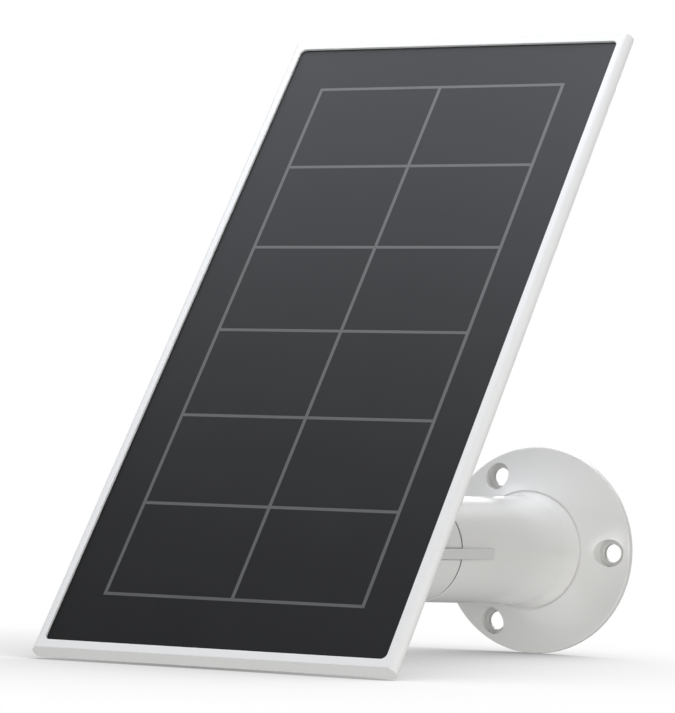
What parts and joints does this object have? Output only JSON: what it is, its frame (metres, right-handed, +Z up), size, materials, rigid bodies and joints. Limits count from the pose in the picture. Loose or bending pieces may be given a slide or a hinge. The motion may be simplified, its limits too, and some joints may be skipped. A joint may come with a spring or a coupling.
{
  "type": "solar charging panel",
  "caption": "Flat rectangular solar charging panel with a pale grid on black, tilting and swivelling on a round three-hole wall mount with a short thick barrel.",
  "frame": {"origin": "centre of the wall flange's back face, on the wall", "axes": "+X right as seen from the front, -Y away from the wall along the barrel, +Z up; the panel leans back 36.6 degrees from vertical at rest"},
  "size_m": [0.0992, 0.1782, 0.1631],
  "materials": {
    "panel_shell": "satin white moulded plastic",
    "mount_shell": "glossy white moulded plastic",
    "cover_black": "black satin sheet",
    "grid_grey": "printed grey line",
    "clear_film": "clear laminating film",
    "cell_silicon": "dark silicon wafer",
    "ribbon_copper": "tinned copper ribbon",
    "backsheet_white": "white backsheet",
    "sealant": "black sealant",
    "dark_rubber": "matt dark rubber",
    "steel": "stainless steel",
    "brass": "knurled brass",
    "board_green": "solder mask",
    "ferrite": "ferrite",
    "chip_black": "moulded epoxy",
    "header_ivory": "ivory nylon",
    "lead_red": "wire insulation",
    "friction_plastic": "acetal"
  },
  "bodies": {
    "mount": {"wall_mount": "mount_shell", "swivel_bolt": "steel", "swivel_nut": "steel", "disc_spring": "steel", "thrust_washer": "friction_plastic", "seam_ring": "dark_rubber"},
    "head": {"swivel_head": "mount_shell", "tilt_bolt": "steel", "tilt_nut": "steel", "tilt_washers": "friction_plastic", "pivot_caps": "mount_shell", "lever_pin": "steel", "brake_shoe": "friction_plastic"},
    "lever": {"lock_lever": "mount_shell"},
    "panel": {"panel_tray": "panel_shell", "cover_sheet": "cover_black", "cell_grid_lines": "grid_grey", "encapsulant_film": "clear_film", "solar_cells": "cell_silicon", "cell_ribbons": "ribbon_copper", "backsheet": "backsheet_white", "adhesive_bead": "sealant", "rear_cover": "panel_shell", "rear_cover_gasket": "dark_rubber", "rear_cover_screws": "steel", "bracket_inserts": "brass", "regulator_board": "board_green", "power_inductor": "ferrite", "board_components": "chip_black", "output_header": "header_ivory", "panel_leads": "lead_red", "board_screws": "steel", "cable_grommet": "dark_rubber", "tilt_bracket": "panel_shell", "bracket_screws": "steel"}
  },
  "joints": [
    {"name": "swivel", "type": "hinge", "parent": "mount", "child": "head", "pos_m": [0, -0.0738, 0], "axis": [0, -1, 0], "continuous": true},
    {"name": "tilt", "type": "hinge", "parent": "head", "child": "panel", "pos_m": [0, -0.1232, 0], "axis": [1, 0, 0], "range_deg": [-23.4, 36.6]},
    {"name": "lever_swing", "type": "hinge", "parent": "head", "child": "lever", "pos_m": [0.0116, -0.0905, -0.0006], "axis": [0, 0, -1], "range_deg": [0, 80]}
  ]
}
